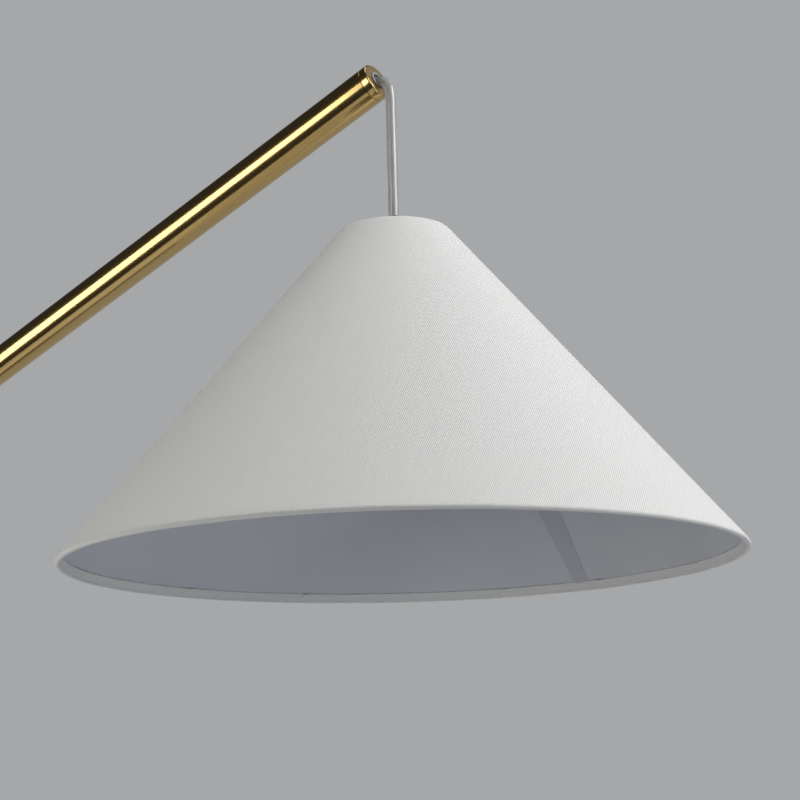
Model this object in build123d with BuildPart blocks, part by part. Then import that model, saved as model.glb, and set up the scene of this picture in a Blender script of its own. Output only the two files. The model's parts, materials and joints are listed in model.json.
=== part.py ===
"""Counterbalanced arm floor lamp with a pendant shade.

Millimetres, +Z up.  The origin is the centre of the base where it stands on the
floor.  The arm lies in the XZ plane and reaches towards +X.
"""
import os
from math import asin, cos, degrees, pi, radians, sin

from build123d import *

os.makedirs("parts", exist_ok=True)

# ---------------------------------------------------------------- driving sizes
CLEAR = 0.05                  # gap between pieces that only touch

TUBE_R = 12.7                 # one-inch brass tube, pole and arm alike
TUBE_WALL = 1.5
TUBE_BORE = TUBE_R - TUBE_WALL
SLEEVE_R = TUBE_BORE - CLEAR  # anything that plugs into the tube
CORD_R = 3.5

BASE_R = 150.0
SHEET_WALL = 1.5
FELT_TOP = 2.0
WEIGHT_TOP = 30.0
COVER_TOP = WEIGHT_TOP + SHEET_WALL
COVER_EDGE = 6.0              # outside rounding of the base cover
INLET_Z = 7.6                 # height of the mains inlet
GLAND_R = 5.0
GLAND_LENGTH = 9.0
NUT_ROOF = 20.5               # roof of the counterbore under the weight
STUD_R = 6.5                  # hollow stud that clamps base, cover and foot
STUD_BORE = 5.0
STUD_TOP = 46.0

FOOT_FLOOR = 5.0              # plate of the pole foot
POLE_START = COVER_TOP + FOOT_FLOOR
POLE_SPLIT = 730.0
PIVOT_Z = 1420.0              # tilt axis of the arm
YOKE_UNDER = PIVOT_Z - 36.5
SWIVEL_GAP = 1.5              # thickness of the swivel washer
CAP_PLATE = 6.0
POLE_END = YOKE_UNDER - SWIVEL_GAP - CAP_PLATE
SPINDLE_R = 7.0
SPINDLE_BORE = 4.6
SPINDLE_END = POLE_END - 29.0
STOP_RADIUS = 11.0            # circle that the stop pin runs on

ARM_SLOPE = 20.0              # degrees above level
ARM_RISE = 32.0               # arm centre line above the tilt axis
ARM_SPLIT = -40.0             # where front and rear tubes meet, along the arm
ARM_REACH = 880.0             # tilt axis to the end face, along the arm
CAP_COLLAR = 6.0
ARM_TAIL = -330.0
COUNTER_R = 27.0
COUNTER_LENGTH = 90.0
COUNTER_PLUG = 30.0           # what the counterweight plugs into the tube
LUG_HALF = 8.7                # half width of the lug between the yoke ears
EAR_INNER = 9.3
EAR_THICK = 6.0
EAR_OUTER = EAR_INNER + EAR_THICK
TILT_R = 4.0                  # screw and stud that the arm tilts on
CABLE_SLOT = 4.0              # half width of the slot the cable runs through

CORD_SAG = 0.9                # the cord lies on the floor of its bush
CORD_OUT = 10.5               # end face centre to the hanging cord, level
LIP_ARC = 6.5                 # the cord round the lip of the arm
FALL_ARC = 40.0               # and where it turns to hang
CABLE_ARC = 25.0              # the cable from yoke to arm
BASE_ARC = 8.0                # and under the base, up into the pole

SHADE_TOP_R = 37.5            # a nominal 3 x 17 x 8.5 inch shade
SHADE_RIM_R = 215.9
SHADE_HEIGHT = 219.0
SHADE_DROP = 329.4            # end face centre down to the rim
CLOTH = 0.6
WIRE_R = 1.2
LINER = 0.4
HEM = 6.5
SEAM_WIDTH = 14.0
SEAM_ANGLE = 88.7

# ------------------------------------------------------------- derived geometry
SLOPE = radians(ARM_SLOPE)
ALONG = (cos(SLOPE), 0, sin(SLOPE))
PIVOT = (0, 0, PIVOT_Z)
ARM_START = (-ARM_RISE * sin(SLOPE), 0, PIVOT_Z + ARM_RISE * cos(SLOPE))
TIP_X = ARM_START[0] + ARM_REACH * cos(SLOPE)
TIP_Z = ARM_START[2] + ARM_REACH * sin(SLOPE)
SHADE_X = TIP_X + CORD_OUT
RIM_Z = TIP_Z - SHADE_DROP
SHADE_TOP_Z = RIM_Z + SHADE_HEIGHT

ARM = Plane(origin=ARM_START, x_dir=(0, 1, 0), z_dir=ALONG)
SIDE = Plane(origin=PIVOT, x_dir=ALONG, z_dir=(0, -1, 0))       # x along the arm
UPRIGHT = Plane.XZ
HANG = Plane(origin=(SHADE_X, 0, SHADE_TOP_Z), x_dir=(1, 0, 0), z_dir=(0, -1, 0))
HANG_AXIS = Axis((SHADE_X, 0, 0), (0, 0, 1))


def save(piece, name):
    """Label one finished piece and write its file."""
    piece.part.label = name
    export_step(piece.part, f"parts/{name}.step")


def ring(plane, outer_r, inner_r, length):
    """A plain tube, washer or disc that stands on a plane."""
    with BuildPart() as piece:
        with BuildSketch(plane):
            Circle(outer_r)
            if inner_r:
                Circle(inner_r, mode=Mode.SUBTRACT)
        extrude(amount=length)
    return piece


def turned(plane, axis, outline):
    """A turned piece from its half outline: radius, height."""
    with BuildPart() as piece:
        with BuildSketch(plane):
            with BuildLine():
                Polyline(*outline, close=True)
            make_face()
        revolve(axis=axis)
    return piece


def hex_nut(plane, across, bore_r, height):
    """A hexagon nut that stands on a plane."""
    with BuildPart() as piece:
        with BuildSketch(plane):
            RegularPolygon(across / 2, 6, major_radius=False)
            Circle(bore_r, mode=Mode.SUBTRACT)
        extrude(amount=height)
    return piece


def level(height):
    """The horizontal plane at a height above the floor."""
    return Plane.XY.offset(height)


def hang_level(height):
    """The horizontal plane on the shade's axis, from the shade's top."""
    return Plane(origin=(SHADE_X, 0, SHADE_TOP_Z + height))


def cord_along(plane, corners, radii):
    """A round cord along straight runs joined by tangent arcs."""
    with BuildPart() as piece:
        with BuildLine(plane) as route:
            if len(corners) > 2:
                FilletPolyline(*corners, radius=radii)
            else:
                Line(*corners)
        with BuildSketch(Plane(origin=route.line @ 0, z_dir=route.line % 0)):
            Circle(CORD_R)
        sweep(path=route.line)
    return piece


# ------------------------------------------------------------------------- base
STUD_HOLE = STUD_R + 0.1
GROOVE = 11.5

save(ring(Plane.XY, BASE_R - 3, 0, FELT_TOP), "felt_pad")

with BuildPart() as base_weight:
    with BuildSketch(level(FELT_TOP)):
        Circle(BASE_R - 4)
    extrude(amount=WEIGHT_TOP - FELT_TOP)
    chamfer(base_weight.faces().sort_by(Axis.Z)[-1].edges(), COVER_EDGE)
    with BuildSketch(level(FELT_TOP)):
        Circle(23)
    extrude(amount=NUT_ROOF - FELT_TOP, mode=Mode.SUBTRACT)
    with BuildSketch(level(NUT_ROOF)):
        Circle(STUD_HOLE)
    extrude(amount=WEIGHT_TOP - NUT_ROOF, mode=Mode.SUBTRACT)
    with BuildSketch(level(FELT_TOP)):                          # cable groove
        with Locations((-BASE_R / 2, 0)):
            Rectangle(BASE_R, GROOVE)
    extrude(amount=GROOVE, mode=Mode.SUBTRACT)
save(base_weight, "base_weight")

with BuildPart() as base_cover:
    with BuildSketch(UPRIGHT):
        with BuildLine():
            skirt = FilletPolyline((STUD_HOLE, COVER_TOP), (BASE_R, COVER_TOP), (BASE_R, 1.5),
                                   radius=COVER_EDGE)
            lip = Line(skirt @ 1, (BASE_R - SHEET_WALL, 1.5))
            inner = FilletPolyline(lip @ 1, (BASE_R - SHEET_WALL, WEIGHT_TOP), (STUD_HOLE, WEIGHT_TOP),
                                   radius=COVER_EDGE - SHEET_WALL)
            Line(inner @ 1, skirt @ 0)
        make_face()
    revolve(axis=Axis.Z)
    with BuildSketch(Plane(origin=(-BASE_R - 5, 0, INLET_Z), z_dir=(1, 0, 0))):
        Circle(GLAND_R + CLEAR)
    extrude(amount=10, mode=Mode.SUBTRACT)
save(base_cover, "base_cover")

INLET = Plane(origin=(-BASE_R - 2, 0, INLET_Z), z_dir=(1, 0, 0))
with BuildPart() as cable_gland:
    with BuildSketch(INLET):
        Circle(GLAND_R)
    extrude(amount=GLAND_LENGTH)
    with BuildSketch(INLET):                                    # flange outside the cover
        Circle(GLAND_R + 0.9)
    extrude(amount=1.9)
    with BuildSketch(INLET):
        Circle(CORD_R + 0.1)
    extrude(amount=GLAND_LENGTH, mode=Mode.SUBTRACT)
save(cable_gland, "cable_gland")

STUD_END = NUT_ROOF - 8.0
save(ring(level(STUD_END), STUD_R, STUD_BORE, STUD_TOP - STUD_END), "base_stud")
save(ring(level(NUT_ROOF - 2), 18, STUD_HOLE, 2), "base_washer")
save(hex_nut(level(STUD_END), 22, STUD_R, 6), "base_nut")

# ------------------------------------------------------------------------- pole
FOOT_TOP = COVER_TOP + 30
JOINER_BORE = 9.6
JOINER_HALF = 30.0
SPIGOT = 20.0                 # what the pole cap and the arm's end cap plug into their tubes

with BuildPart() as pole_foot:
    with BuildSketch(UPRIGHT):
        with BuildLine():
            plate = Polyline((STUD_HOLE, POLE_START), (STUD_HOLE, COVER_TOP), (32, COVER_TOP),
                             (32, COVER_TOP + 2.5))
            flare = ThreePointArc(plate @ 1, (21.5, COVER_TOP + 7), (17, COVER_TOP + 17))
            Polyline(flare @ 1, (16, FOOT_TOP), (TUBE_R + CLEAR, FOOT_TOP),
                     (TUBE_R + CLEAR, POLE_START), (STUD_HOLE, POLE_START))
        make_face()
    revolve(axis=Axis.Z)
save(pole_foot, "pole_foot")

save(ring(level(POLE_START), TUBE_R, TUBE_BORE, POLE_SPLIT - POLE_START), "pole_lower")
save(ring(level(POLE_SPLIT), TUBE_R, TUBE_BORE, POLE_END - POLE_SPLIT), "pole_upper")
save(ring(level(POLE_SPLIT - JOINER_HALF), SLEEVE_R, JOINER_BORE, 2 * JOINER_HALF), "pole_joiner")

CAP_R = 17.5
PIN_R = 1.5
PIN_SEAT = 4.0
with BuildPart() as pole_cap:
    with BuildSketch(UPRIGHT):
        with BuildLine():
            Polyline((SPINDLE_R + 0.06, POLE_END - SPIGOT), (SLEEVE_R, POLE_END - SPIGOT),
                     (SLEEVE_R, POLE_END), (CAP_R - 1, POLE_END), (CAP_R, POLE_END + 1),
                     (CAP_R, POLE_END + CAP_PLATE - 1), (CAP_R - 1, POLE_END + CAP_PLATE),
                     (SPINDLE_R + 0.06, POLE_END + CAP_PLATE), close=True)
        make_face()
    revolve(axis=Axis.Z)
    with BuildSketch(level(POLE_END + CAP_PLATE - PIN_SEAT)):
        with Locations((-STOP_RADIUS, 0)):
            Circle(PIN_R)
    extrude(amount=PIN_SEAT, mode=Mode.SUBTRACT)
save(pole_cap, "pole_cap")

# ------------------------------------------------------------------ swivel head
with BuildPart() as stop_pin:
    with BuildSketch(level(POLE_END + CAP_PLATE - PIN_SEAT)):
        with Locations((-STOP_RADIUS, 0)):
            Circle(PIN_R)
    extrude(amount=PIN_SEAT + SWIVEL_GAP + 3)
save(stop_pin, "stop_pin")

save(ring(level(YOKE_UNDER - SWIVEL_GAP), 9, SPINDLE_R + 0.1, SWIVEL_GAP), "swivel_washer")

YOKE_PLATE = 10.0
EAR_R = 13.0
with BuildPart() as yoke:
    with BuildSketch(level(YOKE_UNDER)):
        Circle(20)
    extrude(amount=YOKE_PLATE)
    chamfer(yoke.faces().sort_by(Axis.Z)[0].edges(), 1)
    with BuildSketch(level(YOKE_UNDER)):                        # groove of the swivel stop
        Circle(STOP_RADIUS + 1.8)
        Circle(STOP_RADIUS - 1.8, mode=Mode.SUBTRACT)
        with Locations((STOP_RADIUS, 0)):
            Rectangle(4, 4, mode=Mode.SUBTRACT)
    extrude(amount=4, mode=Mode.SUBTRACT)
    for face_y in (EAR_OUTER, -EAR_INNER):                      # one ear each side of the lug
        with BuildSketch(Plane.XZ.offset(-face_y)):
            with Locations((0, PIVOT_Z)):
                Circle(EAR_R)
            with BuildLine():
                Polyline((-EAR_R, PIVOT_Z), (-12, YOKE_UNDER + 4), (12, YOKE_UNDER + 4),
                         (EAR_R, PIVOT_Z), close=True)
            make_face()
        extrude(amount=EAR_THICK)
    with BuildSketch(Plane.XZ.offset(-EAR_OUTER)):              # bores of the tilt screws
        with Locations((0, PIVOT_Z)):
            Circle(TILT_R + 0.06)
    extrude(amount=2 * EAR_OUTER, mode=Mode.SUBTRACT)
    with BuildSketch(level(SPINDLE_END)):
        Circle(SPINDLE_R)
    extrude(amount=YOKE_UNDER - SPINDLE_END)
    with BuildSketch(level(SPINDLE_END)):
        Circle(SPINDLE_BORE)
    extrude(amount=YOKE_UNDER + YOKE_PLATE - SPINDLE_END, mode=Mode.SUBTRACT)
save(yoke, "yoke")

WASHER_SEAT = POLE_END - SPIGOT - CLEAR
SPINDLE_WASHER = 1.5
SPINDLE_NUT = 6.0
save(ring(level(WASHER_SEAT - SPINDLE_WASHER), 10.4, SPINDLE_R, SPINDLE_WASHER), "spindle_washer")
save(hex_nut(level(WASHER_SEAT - SPINDLE_WASHER - SPINDLE_NUT), 18, SPINDLE_R, SPINDLE_NUT), "spindle_nut")

# ----------------------------------------------------------------- arm and tilt
SADDLE_R = 16.5
SADDLE_HALF = 22.0
LUG_R = 14.0
SCREW_R = 2.5
SCREW_PLACES = (-14, 14)


def over_arm(along, out):
    """A plane on top of the arm tube, facing away from it."""
    return Plane(SIDE.from_local_coords((along, ARM_RISE + out, 0)), x_dir=(0, 1, 0), z_dir=SIDE.y_dir)


with BuildPart() as arm_saddle:
    with BuildSketch(ARM.offset(-SADDLE_HALF)):
        Circle(SADDLE_R)
    extrude(amount=2 * SADDLE_HALF)
    chamfer(arm_saddle.edges(), 1)
    with BuildSketch(SIDE.offset(-LUG_HALF)):
        Circle(LUG_R)
        with Locations((0, ARM_RISE / 2 - 3)):
            Rectangle(2 * LUG_R, ARM_RISE - 6)
    extrude(amount=2 * LUG_HALF)
    with BuildSketch(ARM.offset(-SADDLE_HALF)):
        Circle(TUBE_R + CLEAR)
    extrude(amount=2 * SADDLE_HALF, mode=Mode.SUBTRACT)
    with BuildSketch(SIDE.offset(-CABLE_SLOT)):                 # slot between the lug's cheeks
        Rectangle(2 * LUG_R + 2, 2 * (ARM_RISE - SADDLE_R))
        with Locations((8, ARM_RISE - SADDLE_R)):
            Rectangle(24, 10)
    extrude(amount=2 * CABLE_SLOT, mode=Mode.SUBTRACT)
    with BuildSketch(SIDE.offset(-LUG_HALF)):
        Circle(TILT_R)
    extrude(amount=2 * LUG_HALF, mode=Mode.SUBTRACT)
    for along in SCREW_PLACES:
        with BuildSketch(over_arm(along, 0)):
            Circle(SCREW_R)
        extrude(amount=SADDLE_R + 1, mode=Mode.SUBTRACT)
save(arm_saddle, "arm_saddle")

with BuildPart() as saddle_screws:
    for along in SCREW_PLACES:
        with BuildSketch(over_arm(along, TUBE_R + 0.02)):
            Circle(SCREW_R)
        extrude(amount=3.4)
        with BuildSketch(over_arm(along, TUBE_R + 1.8)):        # hexagon socket
            RegularPolygon(SCREW_R / 2, 6)
        extrude(amount=2, mode=Mode.SUBTRACT)
save(saddle_screws, "saddle_screws")

LEFT_FACE = Plane(origin=PIVOT, x_dir=(1, 0, 0), z_dir=(0, 1, 0))
RIGHT_FACE = Plane(origin=PIVOT, x_dir=(1, 0, 0), z_dir=(0, -1, 0))
WASHER = 0.5
HEAD_SEAT = EAR_OUTER + WASHER + 0.1
SCREW_END = CABLE_SLOT + 0.2

with BuildPart() as tilt_screw:
    with BuildSketch(LEFT_FACE.offset(SCREW_END)):
        Circle(TILT_R)
    extrude(amount=HEAD_SEAT - SCREW_END)
    with BuildSketch(LEFT_FACE.offset(HEAD_SEAT)):
        Circle(8)
    extrude(amount=5)
    chamfer(tilt_screw.faces().sort_by(Axis.Y)[-1].edges(), 1)
    with BuildSketch(LEFT_FACE.offset(HEAD_SEAT + 3.5)):
        Rectangle(20, 1.8)
    extrude(amount=2, mode=Mode.SUBTRACT)
save(tilt_screw, "tilt_screw")

STUD_LENGTH = 27.0
save(ring(RIGHT_FACE.offset(SCREW_END), TILT_R, 0, STUD_LENGTH - SCREW_END), "tilt_stud")

for name, start in (("friction_washers", LUG_HALF + CLEAR), ("outer_washers", EAR_OUTER + CLEAR)):
    with BuildPart() as washers:
        for face in (LEFT_FACE, RIGHT_FACE):
            with BuildSketch(face.offset(start)):
                Circle(9)
                Circle(TILT_R + CLEAR, mode=Mode.SUBTRACT)
            extrude(amount=WASHER)
    save(washers, name)

KNOB_R = 12.0
KNOB_LENGTH = 14.0
KNOB_FLUTES = 24
with BuildPart() as tilt_knob:
    with BuildSketch(RIGHT_FACE.offset(HEAD_SEAT)):
        Circle(KNOB_R)
        with PolarLocations(KNOB_R + 0.5, KNOB_FLUTES):
            Circle(1.1, mode=Mode.SUBTRACT)
    extrude(amount=KNOB_LENGTH)
    with BuildSketch(RIGHT_FACE.offset(HEAD_SEAT)):
        Circle(TILT_R + 0.06)
    extrude(amount=STUD_LENGTH + 0.5 - HEAD_SEAT, mode=Mode.SUBTRACT)
save(tilt_knob, "tilt_knob")

with BuildPart() as arm_tube_front:
    with BuildSketch(ARM.offset(ARM_SPLIT)):
        Circle(TUBE_R)
        Circle(TUBE_BORE, mode=Mode.SUBTRACT)
    extrude(amount=ARM_REACH - CAP_COLLAR - ARM_SPLIT)
    with BuildSketch(SIDE.offset(-CABLE_SLOT)):
        with Locations((8, ARM_RISE - TUBE_R)):
            Rectangle(24, 10)
    extrude(amount=2 * CABLE_SLOT, mode=Mode.SUBTRACT)
save(arm_tube_front, "arm_tube_front")

save(ring(ARM.offset(ARM_TAIL), TUBE_R, TUBE_BORE, ARM_SPLIT - ARM_TAIL), "arm_tube_rear")
save(ring(ARM.offset(ARM_SPLIT - SADDLE_HALF), SLEEVE_R, JOINER_BORE, 2 * SADDLE_HALF), "arm_joiner")

with BuildPart() as counterweight:
    with BuildSketch(ARM.offset(ARM_TAIL)):
        Circle(COUNTER_R)
    extrude(amount=-COUNTER_LENGTH)
    fillet(counterweight.edges().filter_by(GeomType.CIRCLE), 4)
    with BuildSketch(ARM.offset(ARM_TAIL)):
        Circle(SLEEVE_R)
    extrude(amount=COUNTER_PLUG)
save(counterweight, "counterweight")

BUSH_R = 6.0
BUSH_BORE = 4.5
COLLAR_FACE = ARM_REACH - CAP_COLLAR
with BuildPart() as arm_end_cap:
    with BuildSketch(ARM.offset(COLLAR_FACE)):
        Circle(TUBE_R)
    extrude(amount=CAP_COLLAR)
    chamfer(arm_end_cap.faces().sort_by(Axis(ARM_START, ALONG))[-1].edges(), 1)
    with BuildSketch(ARM.offset(COLLAR_FACE - SPIGOT)):
        Circle(SLEEVE_R)
        Circle(8.5, mode=Mode.SUBTRACT)
    extrude(amount=SPIGOT)
    with BuildSketch(ARM.offset(COLLAR_FACE)):
        Circle(BUSH_R + 0.02)
    extrude(amount=CAP_COLLAR, mode=Mode.SUBTRACT)
save(arm_end_cap, "arm_end_cap")

save(ring(ARM.offset(COLLAR_FACE - 1), BUSH_R, BUSH_BORE, CAP_COLLAR + 1), "tip_bush")

# ----------------------------------------------------------------------- cables
cables = {
    "pole_cable": cord_along(
        UPRIGHT, [(-BASE_R - 1 + GLAND_LENGTH, INLET_Z), (0, INLET_Z), (0, SPINDLE_END - 1)], BASE_ARC),
    "head_cable": cord_along(UPRIGHT, [(0, SPINDLE_END - 1), (0, PIVOT_Z)], 0),
}

CABLE_RISE = ARM_RISE - CORD_SAG
CABLE_LEAVES = SIDE.from_local_coords((ARM_REACH, CABLE_RISE, 0))
cables["arm_cable"] = cord_along(
    UPRIGHT, [(0, PIVOT_Z), (0, PIVOT_Z + CABLE_RISE / cos(SLOPE)), (CABLE_LEAVES.X, CABLE_LEAVES.Z)],
    CABLE_ARC)

# The cord turns tightly over the lip, then falls in a wide arc until it hangs.
FROM_LIP = SHADE_X - CABLE_LEAVES.X
LIP_TURN = degrees(asin((LIP_ARC * sin(SLOPE) + FALL_ARC - FROM_LIP) / (FALL_ARC - LIP_ARC)))
with BuildPart() as cord_bend:
    with BuildLine(UPRIGHT) as fall:
        over = JernArc((CABLE_LEAVES.X, CABLE_LEAVES.Z), (ALONG[0], ALONG[2]), LIP_ARC,
                       -(ARM_SLOPE + LIP_TURN))
        JernArc(over @ 1, over % 1, FALL_ARC, -(90 - LIP_TURN))
    with BuildSketch(Plane(origin=fall.line @ 0, z_dir=fall.line % 0)):
        Circle(CORD_R)
    sweep(path=fall.line)
cables["cord_bend"] = cord_bend
HANG_START = fall.line @ 1

CORD_END = -14.0
cables["pendant_cord"] = cord_along(
    UPRIGHT, [(SHADE_X, HANG_START.Z), (SHADE_X, SHADE_TOP_Z + CORD_END)], 0)

for name, cable in cables.items():
    save(cable, name)

# ------------------------------------------------------------------- lampholder
GRIP_TOP = 11.0
THREAD_R = 5.0
cord_grip = turned(HANG, HANG_AXIS, [
    (CORD_R + 0.05, -9), (THREAD_R, -9), (THREAD_R, -2), (8, -2), (8, 2.5), (6.6, 3.5),
    (5.4, GRIP_TOP - 1), (4.6, GRIP_TOP), (CORD_R + 0.05, GRIP_TOP)])
save(cord_grip, "cord_grip")

SHELL_R = 17.5
SHELL_WALL = 1.2
SHELL_TOP = -34.5
SHELL_END = -72.0
HUB_LOW = -40.0               # hub of the shade's spider
HUB_THICK = 3.5
HUB_R = 22.0
FLANGE_R = 19.5
with BuildPart() as holder_cap:
    with BuildSketch(HANG):
        with BuildLine():
            side = Line((SHELL_R, SHELL_TOP), (SHELL_R, -18))
            dome = ThreePointArc(side @ 1, (14.2, -7.8), (8, -3.5))
            crown = Polyline(dome @ 1, (8, -2), (THREAD_R + 0.02, -2), (THREAD_R + 0.02, -5), (7.6, -5))
            under = ThreePointArc(crown @ 1, (13, -8.9), (SHELL_R - SHELL_WALL, -18))
            Polyline(under @ 1, (SHELL_R - SHELL_WALL, SHELL_TOP), (SHELL_R, SHELL_TOP))
        make_face()
    revolve(axis=HANG_AXIS)
save(holder_cap, "holder_cap")

KEY_Z = -56.0
with BuildPart() as holder_shell:
    with BuildSketch(HANG):
        with BuildLine():
            Polyline((SHELL_R - SHELL_WALL, SHELL_END), (SHELL_R, SHELL_END), (SHELL_R, HUB_LOW + HUB_THICK),
                     (FLANGE_R, HUB_LOW + HUB_THICK), (FLANGE_R, SHELL_TOP),
                     (SHELL_R - SHELL_WALL, SHELL_TOP), close=True)
        make_face()
    revolve(axis=HANG_AXIS)
    with BuildSketch(Plane(origin=(SHADE_X, 0, SHADE_TOP_Z + KEY_Z), z_dir=(0, 1, 0))):
        Circle(2.6)
    extrude(amount=25, mode=Mode.SUBTRACT)
save(holder_shell, "holder_shell")

CORE_FLOOR = -44.0
socket_core = turned(HANG, HANG_AXIS, [
    (3, -36), (16.2, -36), (16.2, -66), (14.2, -66), (14.2, CORE_FLOOR), (3, CORE_FLOOR)])
save(socket_core, "socket_core")
save(ring(hang_level(-71), 14.15, 13.5, 26), "thread_shell")
centre_contact = turned(HANG, HANG_AXIS, [
    (0, -46.5), (4, -46.5), (4, CORE_FLOOR), (2.9, CORE_FLOOR), (2.9, -38), (0, -38)])
save(centre_contact, "centre_contact")

with BuildPart() as switch_key:
    with BuildSketch(Plane(origin=(SHADE_X, 16.4, SHADE_TOP_Z + KEY_Z), z_dir=(0, 1, 0))):
        Circle(2.5)
    extrude(amount=10)
    with BuildSketch(Plane(origin=(SHADE_X, 25, SHADE_TOP_Z + KEY_Z), x_dir=(1, 0, 0), z_dir=(0, 1, 0))):
        RectangleRounded(15, 3.2, 1.5)
    extrude(amount=11)
    fillet(switch_key.edges().group_by(Axis.Y)[-1], 0.8)
save(switch_key, "switch_key")

# ------------------------------------------------------------------------ shade
SHADE_RING = 7.0
save(ring(hang_level(HUB_LOW - SHADE_RING), HUB_R, SHELL_R + CLEAR, SHADE_RING), "shade_ring")

EDGE = WIRE_R + CLOTH                                  # wire with the cloth round it
TOP_WIRE = Vector(SHADE_TOP_R - EDGE, -EDGE)
RIM_WIRE = Vector(SHADE_RIM_R - EDGE, EDGE - SHADE_HEIGHT)
DOWN = (RIM_WIRE - TOP_WIRE).normalized()              # down the slant, in the half section
OUT = Vector(-DOWN.Y, DOWN.X)                          # square to it, outwards
OUT_ANGLE = degrees(asin(OUT.Y))
SPOKES = 3
ROD_R = 1.4


def spokes(radius):
    """The rods from the hub up to the top wire, for the open part."""
    for turn in range(SPOKES):
        swing = Location(HANG.origin, (0, 0, 360 / SPOKES * turn + 30)) * Location((0, 0, 0), (90, 0, 0))
        section = Plane(swing)
        hub = section.from_local_coords((HUB_R - 1, HUB_LOW + HUB_THICK / 2, 0))
        wire = section.from_local_coords((TOP_WIRE.X, TOP_WIRE.Y, 0))
        with BuildSketch(Plane(hub, z_dir=wire - hub)) as rod:
            Circle(radius)
        yield rod.sketch, (wire - hub).length


with BuildPart() as spider_ring:
    with BuildSketch(hang_level(HUB_LOW)):
        Circle(HUB_R)
    extrude(amount=HUB_THICK)
    for rod, length in spokes(ROD_R):
        extrude(rod, amount=length)
    with BuildSketch(HANG):
        with Locations((TOP_WIRE.X, TOP_WIRE.Y)):
            Circle(WIRE_R - 0.02)
    revolve(axis=HANG_AXIS)
    with BuildSketch(hang_level(HUB_LOW)):
        Circle(SHELL_R + CLEAR)
    extrude(amount=HUB_THICK, mode=Mode.SUBTRACT)
save(spider_ring, "spider_ring")

with BuildPart() as rim_ring:
    with BuildSketch(HANG):
        with Locations((RIM_WIRE.X, RIM_WIRE.Y)):
            Circle(WIRE_R - 0.02)
    revolve(axis=HANG_AXIS)
save(rim_ring, "rim_ring")

with BuildPart() as shade_fabric:
    with BuildSketch(HANG):
        with BuildLine():
            outside = Line(TOP_WIRE + OUT * EDGE, RIM_WIRE + OUT * EDGE)
            rim_out = CenterArc(RIM_WIRE, EDGE, OUT_ANGLE, -180)
            hem_in = Line(RIM_WIRE - OUT * EDGE, RIM_WIRE - OUT * EDGE - DOWN * HEM)
            hem_end = Line(hem_in @ 1, hem_in @ 1 + OUT * CLOTH)
            hem_out = Line(hem_end @ 1, RIM_WIRE - OUT * WIRE_R)
            rim_in = CenterArc(RIM_WIRE, WIRE_R, OUT_ANGLE - 180, 180)
            inside = Line(RIM_WIRE + OUT * WIRE_R, TOP_WIRE + OUT * WIRE_R)
            top_in = CenterArc(TOP_WIRE, WIRE_R, OUT_ANGLE, 180)
            fold_out = Line(TOP_WIRE - OUT * WIRE_R, TOP_WIRE - OUT * WIRE_R + DOWN * HEM)
            fold_end = Line(fold_out @ 1, fold_out @ 1 - OUT * CLOTH)
            fold_in = Line(fold_end @ 1, TOP_WIRE - OUT * EDGE)
            top_out = CenterArc(TOP_WIRE, EDGE, OUT_ANGLE + 180, -180)
        make_face()
    revolve(axis=HANG_AXIS)
    for rod, length in spokes(ROD_R + 0.4):                     # slots in the hem for the rods
        extrude(rod, amount=length, mode=Mode.SUBTRACT)
save(shade_fabric, "shade_fabric")

LINING_FACE = WIRE_R - LINER                           # distance from the wires' slant line


def slant_band(inner, outer, start, end):
    """Half section of a layer that lies against the slant of the shade."""
    return [tuple(point)[:2] for point in (
        TOP_WIRE + OUT * inner + DOWN * start, TOP_WIRE + OUT * outer + DOWN * start,
        RIM_WIRE + OUT * outer - DOWN * end, RIM_WIRE + OUT * inner - DOWN * end)]


save(turned(HANG, HANG_AXIS, slant_band(LINING_FACE, WIRE_R, 3.5, 1.2)), "shade_liner")

with BuildPart() as liner_seam:
    with BuildSketch(HANG):
        with BuildLine():
            Polyline(*slant_band(LINING_FACE - LINER, LINING_FACE, 12, 1.5), close=True)
        make_face()
    revolve(axis=HANG_AXIS)
    with BuildSketch(Plane(Location((SHADE_X, 0, RIM_Z), (0, 0, SEAM_ANGLE)))):
        with Locations((SHADE_RIM_R / 2, 0)):
            Rectangle(SHADE_RIM_R, SEAM_WIDTH)
    extrude(amount=SHADE_HEIGHT, mode=Mode.INTERSECT)
save(liner_seam, "liner_seam")

# ------------------------------------------------------------------------- bulb
BULB_R = 30.0
BULB_CENTRE = -124.0
GLASS = 1.0
NECK_R = 12.3
NECK_TOP = -62.0
NECK_END = -80.0
CHEEK = radians(35)           # where the neck's flare meets the globe


def on_globe(radius, angle):
    """A point of the globe in the half section."""
    return radius * cos(angle), BULB_CENTRE + radius * sin(angle)


with BuildPart() as bulb_glass:
    with BuildSketch(HANG):
        for inset, mode in ((0.0, Mode.ADD), (GLASS, Mode.SUBTRACT)):
            with BuildLine():
                neck = Line((NECK_R - inset, NECK_TOP), (NECK_R - inset, NECK_END))
                meet = on_globe(BULB_R - inset, CHEEK)
                flare = Spline(neck @ 1, meet, tangents=[(0, -1), (sin(CHEEK), -cos(CHEEK))])
                globe = ThreePointArc(meet, on_globe(BULB_R - inset, -CHEEK),
                                      on_globe(BULB_R - inset, -pi / 2))
                Polyline(globe @ 1, (0, NECK_TOP), neck @ 0)
            make_face(mode=mode)
    revolve(axis=HANG_AXIS)
save(bulb_glass, "bulb_glass")

bulb_cap = turned(HANG, HANG_AXIS, [
    (12.4, -76), (13.3, -76), (13.3, -53), (9.5, -50.5), (4, -49.2), (4, -50.2), (9, -51.6), (12.4, -54)])
save(bulb_cap, "bulb_cap")
bulb_contact = turned(HANG, HANG_AXIS, [
    (0, -51), (3.95, -51), (3.95, -48.2), (2.6, -48.2), (2.2, -46.6), (0, -46.6)])
save(bulb_contact, "bulb_contact")

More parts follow.
